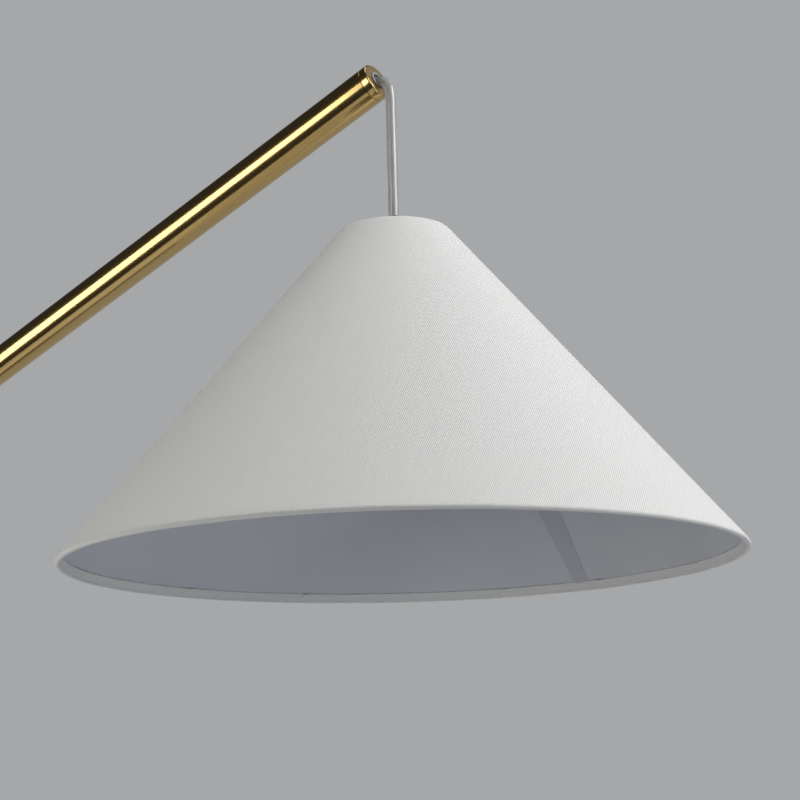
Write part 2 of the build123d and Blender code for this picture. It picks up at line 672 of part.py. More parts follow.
RODS_LOW = -130.0             # four glowing rods between two discs
RODS_HIGH = -90.0
with BuildPart() as bulb_filament:
    for height, radius in ((NECK_TOP, NECK_R - GLASS - 0.1), (RODS_HIGH, 9), (RODS_LOW, 9)):
        with BuildSketch(hang_level(height)):
            Circle(radius)
        extrude(amount=1)
    with BuildSketch(hang_level(RODS_LOW)):
        Circle(2)
    extrude(amount=NECK_TOP - RODS_LOW)
    with BuildSketch(hang_level(RODS_LOW)):
        with PolarLocations(7, 4):
            Circle(1)
    extrude(amount=RODS_HIGH - RODS_LOW)
save(bulb_filament, "bulb_filament")

# ------------------------------------------------------------------------ facts
print(f"cord bend radii {LIP_ARC} and {FALL_ARC}, cable arcs {BASE_ARC} and {CABLE_ARC}")
print(f"end face centre {TIP_X:.2f} {TIP_Z:.2f}  shade axis {SHADE_X:.2f}  rim {RIM_Z:.2f}")
print(f"cord leaves {CABLE_LEAVES.X:.2f} {CABLE_LEAVES.Z:.2f}")
print(f"cord hangs from {HANG_START.X:.2f} {HANG_START.Z:.2f}")
for name, cable in cables.items():
    print(f"{name}: volume / section = {cable.part.volume / (pi * CORD_R ** 2):.1f} long")
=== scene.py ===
"""Looks of the counterbalanced floor lamp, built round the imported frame.

Metres, +Z up.  The lamp stands at the origin, its arm reaches towards +X and
the shade hangs from the arm's end by a short clear cord.
"""
import json
import random
from math import atan2, cos, exp, pi, radians, sin

import bmesh
import bpy
from mathutils import Matrix, Vector, noise


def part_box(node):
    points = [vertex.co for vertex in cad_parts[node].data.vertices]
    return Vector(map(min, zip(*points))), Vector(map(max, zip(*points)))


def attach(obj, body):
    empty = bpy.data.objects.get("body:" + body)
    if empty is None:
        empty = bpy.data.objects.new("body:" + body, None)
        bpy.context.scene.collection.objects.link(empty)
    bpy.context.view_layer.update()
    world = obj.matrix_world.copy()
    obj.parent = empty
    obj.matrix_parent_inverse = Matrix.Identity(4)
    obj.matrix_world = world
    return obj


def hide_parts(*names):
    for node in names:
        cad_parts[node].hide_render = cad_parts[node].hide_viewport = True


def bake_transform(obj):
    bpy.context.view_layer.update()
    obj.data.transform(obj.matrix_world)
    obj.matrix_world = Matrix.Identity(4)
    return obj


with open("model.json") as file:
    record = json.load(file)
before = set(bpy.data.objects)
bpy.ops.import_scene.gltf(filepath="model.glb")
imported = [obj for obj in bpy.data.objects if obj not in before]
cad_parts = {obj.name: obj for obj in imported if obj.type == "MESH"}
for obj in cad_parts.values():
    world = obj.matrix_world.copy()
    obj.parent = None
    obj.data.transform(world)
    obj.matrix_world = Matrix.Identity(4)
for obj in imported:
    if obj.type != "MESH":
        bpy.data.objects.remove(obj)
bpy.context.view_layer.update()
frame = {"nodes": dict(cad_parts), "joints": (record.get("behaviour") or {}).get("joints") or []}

MM = 0.001
UP = Vector((0, 0, 1))


def joint_place(name):
    """Where a joint of the frame sits."""
    return Vector(next(j["pos_m"] for j in frame["joints"] if j["name"] == name))


# ------------------------------------------------------------ places and sizes
PIVOT = joint_place("arm_tilt")
HANG = joint_place("pendant_level")              # the cord is plumb from here down

shade_low, shade_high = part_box("shade_fabric")
SHADE_X = (shade_low.x + shade_high.x) / 2
RIM_Z = shade_low.z
TOP_Z = shade_high.z
RIM_R = (shade_high.x - shade_low.x) / 2
RIM_CENTRE = Vector((SHADE_X, 0, RIM_Z))

ARM_SLOPE = radians(20)
ARM_RISE = 32 * MM
ARM_REACH = 880 * MM
ALONG = Vector((cos(ARM_SLOPE), 0, sin(ARM_SLOPE)))
ACROSS = Vector((-sin(ARM_SLOPE), 0, cos(ARM_SLOPE)))
ARM_START = PIVOT + ARM_RISE * ACROSS
ARM_END = ARM_START + ARM_REACH * ALONG

TUBE_R = 12.7                                    # sizes from here down are in millimetres
TUBE_BORE = 11.2
CORD_R = 3.5


# --------------------------------------------------------------------- camera
CAMERA_TURN = radians(36.11)                     # between the view and square to the arm
CAMERA_BACK = 1.1241
CAMERA_DROP = 0.1486                             # below the shade's rim
CAMERA_PITCH = radians(12.79)
CAMERA_YAW = radians(0.035)
CAMERA_ROLL = radians(-1.55)
CAMERA_LENS = 80.6


def make_camera():
    """The camera stands a little below the rim and looks up into the shade."""
    right = Vector((cos(CAMERA_TURN), sin(CAMERA_TURN), 0))
    away = Vector((-sin(CAMERA_TURN), cos(CAMERA_TURN), 0))
    look = cos(CAMERA_PITCH) * (sin(CAMERA_YAW) * right + cos(CAMERA_YAW) * away) + sin(CAMERA_PITCH) * UP
    side = cos(CAMERA_YAW) * right - sin(CAMERA_YAW) * away
    top = side.cross(look)
    rolled_side = cos(CAMERA_ROLL) * side + sin(CAMERA_ROLL) * top
    rolled_top = cos(CAMERA_ROLL) * top - sin(CAMERA_ROLL) * side
    data = bpy.data.cameras.new("camera")
    data.lens = CAMERA_LENS
    data.sensor_width = 36
    camera = bpy.data.objects.new("camera", data)
    turn = Matrix((rolled_side, rolled_top, -look)).transposed().to_4x4()
    camera.matrix_world = Matrix.Translation(RIM_CENTRE - CAMERA_BACK * away - CAMERA_DROP * UP) @ turn
    bpy.context.scene.collection.objects.link(camera)
    bpy.context.scene.camera = camera


make_camera()


# ------------------------------------------------------------- material helpers
def linear(hex_colour):
    """An sRGB hex colour as linear red, green, blue, alpha."""
    channels = [int(hex_colour[i:i + 2], 16) / 255 for i in (1, 3, 5)]
    return [c / 12.92 if c <= 0.04045 else ((c + 0.055) / 1.055) ** 2.4 for c in channels] + [1.0]


def add(tree, kind, inputs=None, stops=(), **settings):
    """Adds a node with its settings, fills or links its inputs, and sets the stops of a colour ramp."""
    made = tree.nodes.new(kind)
    for name, value in settings.items():
        setattr(made, name, value)
    for name, value in (inputs or {}).items():
        for source in value if isinstance(value, list) and not isinstance(value[0], float) else [value]:
            if isinstance(source, bpy.types.NodeSocket):
                tree.links.new(source, made.inputs[name])
            else:
                made.inputs[name].default_value = source
    for i, (place, colour) in enumerate(stops):
        stop = made.color_ramp.elements[i] if i < 2 else made.color_ramp.elements.new(place)
        stop.position = place
        stop.color = linear(colour)
    return made


def new_material(name, **sockets):
    """A material with a Principled shader whose plain values are set on its own sockets."""
    material = bpy.data.materials.new(name)
    material.use_nodes = True
    tree = material.node_tree
    shader = tree.nodes["Principled BSDF"]
    for socket, value in sockets.items():
        shader.inputs[socket.replace("_", " ")].default_value = value
    return material, tree, shader


def stretched(tree, scale, turn=(0, 0, 0), centre=(0, 0, 0)):
    """Object coordinates, centred, turned and then stretched."""
    place = add(tree, "ShaderNodeTexCoord").outputs["Object"]
    centred = add(tree, "ShaderNodeMapping", {"Vector": place, "Location": tuple(-c for c in centre)})
    turned = add(tree, "ShaderNodeMapping", {"Vector": centred.outputs[0], "Rotation": tuple(turn)})
    return add(tree, "ShaderNodeMapping", {"Vector": turned.outputs[0], "Scale": tuple(scale)}).outputs[0]


def finish_surface(tree, shader, colour=None, roughness=None, height=None, depth=0.0):
    """Links a pattern's colour, roughness and relief, its depth in metres, to the shader."""
    if colour:
        tree.links.new(colour, shader.inputs["Base Color"])
    if roughness:
        tree.links.new(roughness, shader.inputs["Roughness"])
    if height:
        bump = add(tree, "ShaderNodeBump", {"Height": height, "Distance": depth})
        tree.links.new(bump.outputs["Normal"], shader.inputs["Normal"])


# ------------------------------------------------------------------- materials
BRASS_DARK = "#DAB66E"
BRASS_LIGHT = "#E9CA86"


def satin_brass(name, turn=(0, 0, 0), centre=(0, 0, 0)):
    """Brass tube, drawn, brushed lengthways and lacquered: fine long scratches and a thin clear shine."""
    material, tree, shader = new_material(name, Metallic=1.0, Coat_Weight=0.35, Coat_Roughness=0.12)
    lengthways = stretched(tree, (1200, 1200, 8), turn, centre)      # scratches 0.8 mm wide, coarse enough to show
    scratches = add(tree, "ShaderNodeTexNoise", {"Vector": lengthways, "Scale": 1.0, "Detail": 3.0}).outputs["Fac"]
    tone = add(tree, "ShaderNodeValToRGB", {"Fac": scratches}, stops=[(0.2, BRASS_DARK), (0.7, BRASS_LIGHT)])
    gloss = add(tree, "ShaderNodeMapRange", {"Value": scratches, "To Min": 0.13, "To Max": 0.21})
    finish_surface(tree, shader, tone.outputs["Color"], gloss.outputs[0], scratches, 0.0000015)
    return material


def turned_brass(name, centre=(0, 0, 0), turn=(0, 0, 0)):
    """Brass turned on a lathe and lacquered: very fine rings round the piece's own axis."""
    material, tree, shader = new_material(name, Metallic=1.0, Coat_Weight=0.35, Coat_Roughness=0.12)
    place = stretched(tree, (1, 1, 1), turn, centre)
    rings = add(tree, "ShaderNodeTexWave", {"Vector": place, "Scale": 420.0, "Distortion": 0.3},
                wave_type="RINGS", rings_direction="Z").outputs["Fac"]                # 0.75 mm apart, to show
    handled = add(tree, "ShaderNodeTexNoise", {"Vector": place, "Scale": 9.0, "Detail": 3.0})
    tone = add(tree, "ShaderNodeValToRGB", {"Fac": handled.outputs["Fac"]},
               stops=[(0.3, BRASS_DARK), (0.7, BRASS_LIGHT)])
    gloss = add(tree, "ShaderNodeMapRange", {"Value": rings, "To Min": 0.18, "To Max": 0.24})
    finish_surface(tree, shader, tone.outputs["Color"], gloss.outputs[0], rings, 0.0000012)
    return material


THREAD = 1.08 * MM                               # spacing of the fabric's ribs


def ribbed_cloth():
    """White cotton twill: fine straight ribs with painted soft shade in the grooves between them, a little slub, no
    gloss.
    """
    material, tree, shader = new_material("ribbed_white_cotton", Roughness=0.9, Specular_IOR_Level=0.2,
                                          Sheen_Weight=0.1, Sheen_Roughness=0.5)
    cut = add(tree, "ShaderNodeUVMap", uv_map="cut").outputs[0]
    across = add(tree, "ShaderNodeSeparateXYZ", {0: cut}).outputs
    wander = add(tree, "ShaderNodeTexNoise", {"Vector": cut, "Scale": 26.0, "Detail": 3.0}, noise_dimensions="2D")
    shifted = add(tree, "ShaderNodeMath", {0: wander.outputs["Fac"], 1: 0.4 * THREAD, 2: across["X"]},
                  operation="MULTIPLY_ADD")
    ribs = add(tree, "ShaderNodeMath", {0: shifted.outputs[0], 1: 2 * pi / THREAD}, operation="MULTIPLY")
    wave = add(tree, "ShaderNodeMath", {0: ribs.outputs[0]}, operation="SINE")
    height = add(tree, "ShaderNodeMath", {0: wave.outputs[0], 1: 0.5, 2: 0.5}, operation="MULTIPLY_ADD")
    picks = add(tree, "ShaderNodeMath", {0: across["Y"], 1: 2 * pi / (0.55 * THREAD)}, operation="MULTIPLY")
    pick_wave = add(tree, "ShaderNodeMath", {0: picks.outputs[0]}, operation="SINE")
    weave = add(tree, "ShaderNodeMath", {0: pick_wave.outputs[0], 1: 0.06, 2: height.outputs[0]},
                operation="MULTIPLY_ADD")
    long_threads = add(tree, "ShaderNodeMapping", {"Vector": cut, "Scale": (900.0, 30.0, 1.0)}).outputs[0]
    slub = add(tree, "ShaderNodeTexNoise", {"Vector": long_threads, "Scale": 1.0, "Detail": 2.0},
               noise_dimensions="2D")
    tone = add(tree, "ShaderNodeMath", {0: slub.outputs["Fac"], 1: 0.3, 2: weave.outputs[0]},
               operation="MULTIPLY_ADD")
    # the ramp paints the ribs' grooves darker than their crests: painted shade between the ribs, plus the slub's own
    # tone
    colour = add(tree, "ShaderNodeValToRGB", {"Fac": tone.outputs[0]},
                 stops=[(0.05, "#CECFCC"), (1.2 / 1.3, "#EBEBE9")]).outputs["Color"]
    finish_surface(tree, shader, colour, None, weave.outputs[0], 0.00012)
    return material


def liner_film(name, dark, light):
    """Laminated styrene film: smooth, cool white, with a faint satin gloss."""
    material, tree, shader = new_material(name, Roughness=0.5, Specular_IOR_Level=0.35, IOR=1.55)
    cloudy = add(tree, "ShaderNodeTexNoise", {"Vector": stretched(tree, (9, 9, 9)), "Scale": 1.0, "Detail": 3.0})
    colour = add(tree, "ShaderNodeValToRGB", {"Fac": cloudy.outputs["Fac"]}, stops=[(0.3, dark), (0.7, light)])
    fine = add(tree, "ShaderNodeTexNoise", {"Vector": stretched(tree, (700, 700, 700)), "Scale": 1.0})
    finish_surface(tree, shader, colour.outputs["Color"], None, fine.outputs["Fac"], 0.000006)
    return material


def clear_pvc():
    """Clear PVC sheath gone a little milky: silver-grey and soft, with a glossy outer skin."""
    material, tree, shader = new_material("milky_clear_pvc", IOR=1.53, Transmission_Weight=0.6, Coat_Weight=0.5,
                                          Coat_Roughness=0.1)
    cloudy = add(tree, "ShaderNodeTexNoise", {"Vector": stretched(tree, (260, 260, 60)), "Scale": 1.0})
    colour = add(tree, "ShaderNodeValToRGB", {"Fac": cloudy.outputs["Fac"]},
                 stops=[(0.3, "#C9CACC"), (0.7, "#D8D9DB")])
    gloss = add(tree, "ShaderNodeMapRange", {"Value": cloudy.outputs["Fac"], "To Min": 0.26, "To Max": 0.36})
    finish_surface(tree, shader, colour.outputs["Color"], gloss.outputs[0])
    return material


def speckled(name, dark, light, grain, depth, **sockets):
    """A surface with a fine even grain between two tones, its size and depth in metres."""
    material, tree, shader = new_material(name, **sockets)
    pattern = add(tree, "ShaderNodeTexNoise", {"Vector": stretched(tree, [1 / grain] * 3), "Scale": 1.0,
                                               "Detail": 3.0}).outputs["Fac"]
    colour = add(tree, "ShaderNodeValToRGB", {"Fac": pattern}, stops=[(0.3, dark), (0.7, light)])
    finish_surface(tree, shader, colour.outputs["Color"], None, pattern, depth)
    return material


ALONG_ARM = (0, ARM_SLOPE - pi / 2, 0)           # turns the arm's line upright
BRASS_ARM = satin_brass("brushed_brass_arm", ALONG_ARM, ARM_START)
BRASS_POLE = satin_brass("brushed_brass_pole")
BRASS_TURNED = turned_brass("turned_brass_base")
BRASS_END = turned_brass("turned_brass_end", ARM_END, ALONG_ARM)
BRASS_PENDANT = turned_brass("turned_brass_holder", RIM_CENTRE)
CLOTH = ribbed_cloth()
LINER = liner_film("styrene_liner", "#BFC1C7", "#C8CACF")
LINER_LAP_PAINTED_SHADE = liner_film("styrene_lap_painted_shade", "#B2B4BA", "#B9BBC1")          # painted darker: painted shade on the lap, where two films let less light through
PVC = clear_pvc()
# Tinned copper strands: soft grey shine, a little warm where the copper shows through.
BRAID = speckled("tinned_copper", "#C9C7BD", "#EDE9DB", 0.0012, 0.00001, Metallic=0.6, Roughness=0.45)
# Bright zinc plate on steel: bluish grey, finely mottled, softly shiny.
STEEL = speckled("zinc_plated_steel", "#9C9B96", "#BEBDB8", 0.0006, 0.000005, Metallic=1.0, Roughness=0.32)
# Cast iron under dark paint: dull, with the sand's pimples.
IRON = speckled("painted_cast_iron", "#26262A", "#3A3A3E", 0.0012, 0.0001, Roughness=0.6)
# Pressed wool felt: matt and fibrous.
FELT = speckled("pressed_grey_felt", "#3A3A3A", "#5A5A58", 0.0008, 0.0003, Roughness=1.0, Sheen_Weight=0.4)
# Moulded phenolic: deep black, smooth and glossy.
PHENOLIC = speckled("black_phenolic", "#0C0C0D", "#18181A", 0.002, 0.00001, Roughness=0.3, IOR=1.6)
# Moulded nylon: milky white, soft at its edges.
NYLON = speckled("white_nylon", "#D8D6CE", "#E8E6DE", 0.003, 0.00001, Roughness=0.45,
                 Subsurface_Weight=0.2, Subsurface_Radius=(0.002, 0.002, 0.002))
# Unfilled nylon: whitish and half clear, so the brass glows through its rim.
BUSH = speckled("translucent_nylon", "#C4C4C6", "#DADADC", 0.003, 0.00001, Roughness=0.25, IOR=1.53,
                Transmission_Weight=0.55)
# Glazed porcelain: warm white with a wet shine.
PORCELAIN = speckled("glazed_porcelain", "#E6E3DA", "#F0EEE8", 0.01, 0.000005, Roughness=0.12, IOR=1.5)
# Powder coat: white, with a faint orange-peel.
POWDER = speckled("white_powder_coat", "#D6D6D2", "#E6E6E2", 0.0007, 0.00002, Roughness=0.45)
# Stamped thin brass: yellower and brighter than the lacquered tube.
STAMPED = speckled("stamped_brass", "#D2B068", "#E4C884", 0.002, 0.000004, Metallic=1.0, Roughness=0.22)
# Nickel plate: warm silver, smooth.
NICKEL = speckled("nickel_plate", "#B8B5AC", "#D4D2CA", 0.001, 0.000004, Metallic=1.0, Roughness=0.2)
# Phosphor coat of the light rods: matt yellow with a fine grain.
PHOSPHOR = speckled("phosphor_rods", "#D9B24A", "#EBCB72", 0.0008, 0.00002, Roughness=0.5)
# Blown glass: clear, with slow waves in the wall.
GLASS = speckled("clear_glass", "#F4F7F6", "#FFFFFF", 0.02, 0.000002, Roughness=0.02, IOR=1.5,
                 Transmission_Weight=1.0)
# Painted studio floor: pale and matt, with a hardly visible mottle.
FLOOR = speckled("pale_floor", "#CDD0D4", "#D3D5D8", 0.05, 0.0, Roughness=0.85)


# ------------------------------------------------------------------ mesh helpers
def new_object(name, mesh, material, smooth_angle=35):
    """Links a mesh as an object at the origin, smooth but for its sharp edges."""
    mesh.materials.clear()
    mesh.materials.append(material)
    mesh.shade_smooth()
    mesh.set_sharp_from_angle(angle=radians(smooth_angle))
    piece = bpy.data.objects.new(name, mesh)
    bpy.context.scene.collection.objects.link(piece)
    return piece


def eased(outline, radius, steps=4):
    """A closed half outline with its corners rounded: (radius, height) in millimetres."""
    rounded = []
    for i, corner in enumerate(outline):
        corner = Vector(corner)
        before = Vector(outline[i - 1]) - corner
        after = Vector(outline[(i + 1) % len(outline)]) - corner
        ease = min(radius, 0.45 * before.length, 0.45 * after.length)
        if corner.x < 1e-6 or ease < 1e-3:
            rounded.append(tuple(corner))
            continue
        start = corner + before.normalized() * ease
        end = corner + after.normalized() * ease
        for step in range(steps + 1):
            t = step / steps
            rounded.append(tuple((1 - t) ** 2 * start + 2 * t * (1 - t) * corner + t * t * end))
    return rounded


def turned(name, outline, material, place, ease=0.4, sides=96):
    """A piece turned from a closed half outline in millimetres, set by a matrix whose Z is its axis."""
    mesh = bpy.data.meshes.new(name)
    form = bmesh.new()
    columns = []
    for radius, height in eased(outline, ease):
        if radius < 1e-6:
            columns.append([form.verts.new((0, 0, height * MM))] * sides)
        else:
            columns.append([form.verts.new((radius * MM * cos(2 * pi * k / sides),
                                            radius * MM * sin(2 * pi * k / sides), height * MM))
                            for k in range(sides)])
    for first, second in zip(columns, columns[1:] + columns[:1]):
        for k in range(sides):
            corners = []
            for vert in (first[k], first[(k + 1) % sides], second[(k + 1) % sides], second[k]):
                if vert not in corners:
                    corners.append(vert)
            if len(corners) > 2:
                form.faces.new(corners)
    bmesh.ops.recalc_face_normals(form, faces=form.faces)
    form.to_mesh(mesh)
    form.free()
    mesh.transform(place)
    return new_object(name, mesh, material)


def axis_at(origin, direction, beside=Vector((0, 1, 0))):
    """A matrix whose Z axis points along a direction and whose Y axis is nearest to another."""
    z = direction.normalized()
    x = beside.cross(z).normalized()
    return Matrix.Translation(origin) @ Matrix((x, z.cross(x), z)).transposed().to_4x4()


ARM = axis_at(ARM_START, ALONG)
PENDANT = Matrix.Translation(Vector((SHADE_X, 0, TOP_Z)))


def smooth_line(points, steps=24):
    """The points of a smooth order-3 spline through a route's control points."""
    curve = bpy.data.curves.new("route", "CURVE")
    curve.dimensions = "3D"
    spline = curve.splines.new("NURBS")
    spline.points.add(len(points) - 1)
    for knot, point in zip(spline.points, points):
        knot.co = (*point, 1)
    spline.order_u = 3
    spline.use_endpoint_u = True
    spline.resolution_u = steps
    holder = bpy.data.objects.new("route", curve)
    bpy.context.scene.collection.objects.link(holder)
    bpy.context.view_layer.update()
    mesh = bpy.data.meshes.new_from_object(holder.evaluated_get(bpy.context.evaluated_depsgraph_get()))
    line = [v.co.copy() for v in mesh.vertices]
    bpy.data.objects.remove(holder)
    bpy.data.meshes.remove(mesh)
    return line


def tube_along(name, line, radius, material, sides=28):
    """A round closed tube along a line that stays in the XZ plane, radius in metres."""
    mesh = bpy.data.meshes.new(name)
    form = bmesh.new()
    rings = []
    for i, point in enumerate(line):
        ahead = (line[min(i + 1, len(line) - 1)] - line[max(i - 1, 0)]).normalized()
        side = Vector((0, 1, 0))
        top = ahead.cross(side)
        rings.append([form.verts.new(point + radius * (cos(2 * pi * k / sides) * side
                                                       + sin(2 * pi * k / sides) * top))
                      for k in range(sides)])
    for first, second in zip(rings, rings[1:]):
        for k in range(sides):
            form.faces.new((first[k], first[(k + 1) % sides], second[(k + 1) % sides], second[k]))
    form.faces.new(rings[0])
    form.faces.new(rings[-1])
    bmesh.ops.recalc_face_normals(form, faces=form.faces)
    form.to_mesh(mesh)
    form.free()
    return new_object(name, mesh, material)


# ---------------------------------------------------------- node-made repeats
def new_tree(name, **sizes):
    """A geometry tree with a geometry, a material and one named input for each size."""
    tree = bpy.data.node_groups.new(name, "GeometryNodeTree")
    tree.interface.new_socket("Geometry", in_out="INPUT", socket_type="NodeSocketGeometry")
    tree.interface.new_socket("Material", in_out="INPUT", socket_type="NodeSocketMaterial")
    for label, kind in sizes.items():
        tree.interface.new_socket(label.replace("_", " "), in_out="INPUT", socket_type="NodeSocket" + kind)
    tree.interface.new_socket("Geometry", in_out="OUTPUT", socket_type="NodeSocketGeometry")
    return tree, add(tree, "NodeGroupInput").outputs


def close_tree(tree, given, geometry):
    """Ends a tree in real faces of the given material."""
    real = add(tree, "GeometryNodeRealizeInstances", {"Geometry": geometry}).outputs[0]
    painted = add(tree, "GeometryNodeSetMaterial", {"Geometry": real, "Material": given["Material"]}).outputs[0]
    add(tree, "NodeGroupOutput", {"Geometry": painted})
    return tree


def ribs_tree():
    """Round ribs that stand in a ring round the Z axis of a turned piece."""
    tree, given = new_tree("ribs_round_a_ring", Ribs="Int", Ring_Radius="Float", Rib_Radius="Float",
                           Rib_Start="Float", Rib_End="Float")
    low = add(tree, "ShaderNodeCombineXYZ", {"Z": given["Rib Start"]}).outputs[0]
    high = add(tree, "ShaderNodeCombineXYZ", {"Z": given["Rib End"]}).outputs[0]
    rod = add(tree, "GeometryNodeCurvePrimitiveLine", {"Start": low, "End": high}).outputs[0]
    section = add(tree, "GeometryNodeCurvePrimitiveCircle", {"Resolution": 10, "Radius": given["Rib Radius"]})
    rib = add(tree, "GeometryNodeCurveToMesh", {"Curve": rod, "Profile Curve": section.outputs[0],
                                                "Fill Caps": True}).outputs[0]
    places = add(tree, "GeometryNodeMeshCircle", {"Vertices": given["Ribs"], "Radius": given["Ring Radius"]})
    row = add(tree, "GeometryNodeInstanceOnPoints", {"Points": places.outputs[0], "Instance": rib}).outputs[0]
    both = add(tree, "GeometryNodeJoinGeometry", {"Geometry": [given["Geometry"], row]}).outputs[0]
    return close_tree(tree, given, both)


def thread_tree():
    """A rolled screw thread that winds up the outside of a turned shell."""
    tree, given = new_tree("rolled_thread", Turns="Float", Shell_Radius="Float", Ridge_Radius="Float",
                           Thread_Start="Float", Thread_Height="Float")
    spiral = add(tree, "GeometryNodeCurveSpiral", {
        "Resolution": 48, "Rotations": given["Turns"], "Start Radius": given["Shell Radius"],
        "End Radius": given["Shell Radius"], "Height": given["Thread Height"]}).outputs[0]
    start = add(tree, "ShaderNodeCombineXYZ", {"Z": given["Thread Start"]}).outputs[0]
    raised = add(tree, "GeometryNodeTransform", {"Geometry": spiral, "Translation": start}).outputs[0]
    section = add(tree, "GeometryNodeCurvePrimitiveCircle", {"Resolution": 10, "Radius": given["Ridge Radius"]})
    ridge = add(tree, "GeometryNodeCurveToMesh", {"Curve": raised, "Profile Curve": section.outputs[0],
                                                  "Fill Caps": True}).outputs[0]
    both = add(tree, "GeometryNodeJoinGeometry", {"Geometry": [given["Geometry"], ridge]}).outputs[0]
    return close_tree(tree, given, both)


def strands_tree():
    """Strands laid round each other along a route: a ring of small sections swept with a steady twist."""
    tree, given = new_tree("twisted_strands", Strands="Int", Lay_Radius="Float", Strand_Radius="Float",
                           Twist="Float")
    route = add(tree, "GeometryNodeMeshToCurve", {"Mesh": given["Geometry"]}).outputs[0]
    run = add(tree, "GeometryNodeSplineParameter").outputs["Length"]
    angle = add(tree, "ShaderNodeMath", {0: run, 1: given["Twist"]}, operation="MULTIPLY").outputs[0]
    laid = add(tree, "GeometryNodeSetCurveTilt", {"Curve": route, "Tilt": angle}).outputs[0]
    ring = add(tree, "GeometryNodeCurvePrimitiveCircle", {"Resolution": given["Strands"],
                                                          "Radius": given["Lay Radius"]}).outputs[0]
    section = add(tree, "GeometryNodeCurvePrimitiveCircle", {"Resolution": 8, "Radius": given["Strand Radius"]})
    sections = add(tree, "GeometryNodeInstanceOnPoints", {"Points": ring, "Instance": section.outputs[0]})
    bundle = add(tree, "GeometryNodeRealizeInstances", {"Geometry": sections.outputs[0]}).outputs[0]
    swept = add(tree, "GeometryNodeCurveToMesh", {"Curve": laid, "Profile Curve": bundle,
                                                  "Fill Caps": True}).outputs[0]
    return close_tree(tree, given, swept)


def grown(name, tree, mesh, material, **sizes):
    """A finished piece: a mesh put through a tree with the given sizes."""
    holder = bpy.data.objects.new(name + "_start", mesh)
    bpy.context.scene.collection.objects.link(holder)
    modifier = holder.modifiers.new("tree", "NODES")
    modifier.node_group = tree
    values = {label.replace("_", " "): value for label, value in sizes.items()}
    values["Material"] = material
    for socket in tree.interface.items_tree:
        if socket.in_out == "INPUT" and socket.name in values:
            modifier[socket.identifier] = values[socket.name]
    bpy.context.view_layer.update()
    result = bpy.data.meshes.new_from_object(holder.evaluated_get(bpy.context.evaluated_depsgraph_get()))
    holder.modifiers.remove(modifier)
    bpy.data.objects.remove(holder)
    return result


RIBS = ribs_tree()
SCREW_THREAD = thread_tree()
STRANDS = strands_tree()
STRAND_COUNT = 6
LAY_RADIUS = 0.62                                # from the cord's line to each strand's
STRAND_R = 0.33
LAY_LENGTH = 14                                  # of one full turn of the strands


def strands_along(name, line, material):
    """The cord's twisted strands along a smooth line."""
    mesh = bpy.data.meshes.new(name)
    mesh.from_pydata([tuple(p) for p in line], [(i, i + 1) for i in range(len(line) - 1)], [])
    bundle = grown(name, STRANDS, mesh, material, Strands=STRAND_COUNT, Lay_Radius=LAY_RADIUS * MM,
                   Strand_Radius=STRAND_R * MM, Twist=2 * pi / (LAY_LENGTH * MM))
    return new_object(name, bundle, material, 80)


# ------------------------------------------------------------------ the cord
BUSH_EXIT = ARM_END - 0.9 * MM * ACROSS          # the cord lies on the floor of its bush
OVER_LIP = [(-34, -12.9), (-12, -4.9), (-2, -1.0), (4.6, -1.7), (9.3, -7.2), (10.5, -14.0)]
HANG_ROUTE = [HANG, HANG - 0.036 * UP, HANG - 0.072 * UP, Vector((SHADE_X, 0, TOP_Z - 14 * MM))]


def make_cord():
    """The clear cord: round the lip of the arm's end, then plumb down to the shade's grip."""
    over = [ARM_END + MM * Vector((x, 0, z)) for x, z in OVER_LIP] + [HANG]
    for name, line, bodies, node, start, end in (
            ("cord_over_lip", smooth_line(over), ("arm", "cord_hang"), "cord_bend", BUSH_EXIT, HANG),
            ("hanging_cord", smooth_line(HANG_ROUTE), ("cord_hang", "pendant"), "pendant_cord",
             HANG, HANG - 0.03 * UP)):
        sheath = tube_along(name, line, CORD_R * MM, PVC)
        core = strands_along(name + "_strands", line, BRAID)
        for piece in (sheath, core):
            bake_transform(piece)
        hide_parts(node)


make_cord()


# ----------------------------------------------------------------- the shade
WIRE_TO_CLOTH = 1.5                              # wire centre to the middle of the cloth
EDGE = 1.8                                       # wire centre to the shade's outermost line
TOP_R = 37.5
TOP_WIRE = Vector((TOP_R - EDGE, (TOP_Z - RIM_Z) / MM - EDGE))
RIM_WIRE = Vector((RIM_R / MM - EDGE, EDGE))
SLANT = (RIM_WIRE - TOP_WIRE).length             # wire to wire
DOWN = (RIM_WIRE - TOP_WIRE).normalized()
OUT = Vector((-DOWN.y, DOWN.x))
SLANT_HALF = atan2(DOWN.x, -DOWN.y)              # half the cone's angle at its apex
SEAM_TURN = radians(88.7)
FRONT_TURN = CAMERA_TURN - pi / 2                # the generator nearest the camera
RIB_LEAN = radians(18)                           # of the ribs from that generator
CLOTH_THICK = 0.5
FILM_THICK = 0.35
HEM = 5.6                                        # folded in over each wire
HEM_STEPS = 12
HEM_STANDS_OFF = 2.25                            # how far the hem's edge comes in over the liner
TUCKS = 46
SHADE_SIDES = 360
HEM_SIDES = 1440                                 # fine enough for its small tucks
LAP_WIDTH = 11.0                                 # of the liner's seam at the rim
LAP_GROWS = 0.085                                # wider by this much for each millimetre up
LAP_GROWS_OVER = 64
LAP_RISE = 0.55
LAP_STEPS = 10


def shade_place(radius, height, turn):
    """A point of the shade from its radius and height above the rim, in millimetres."""
    return RIM_CENTRE + MM * Vector((radius * cos(turn), radius * sin(turn), height))


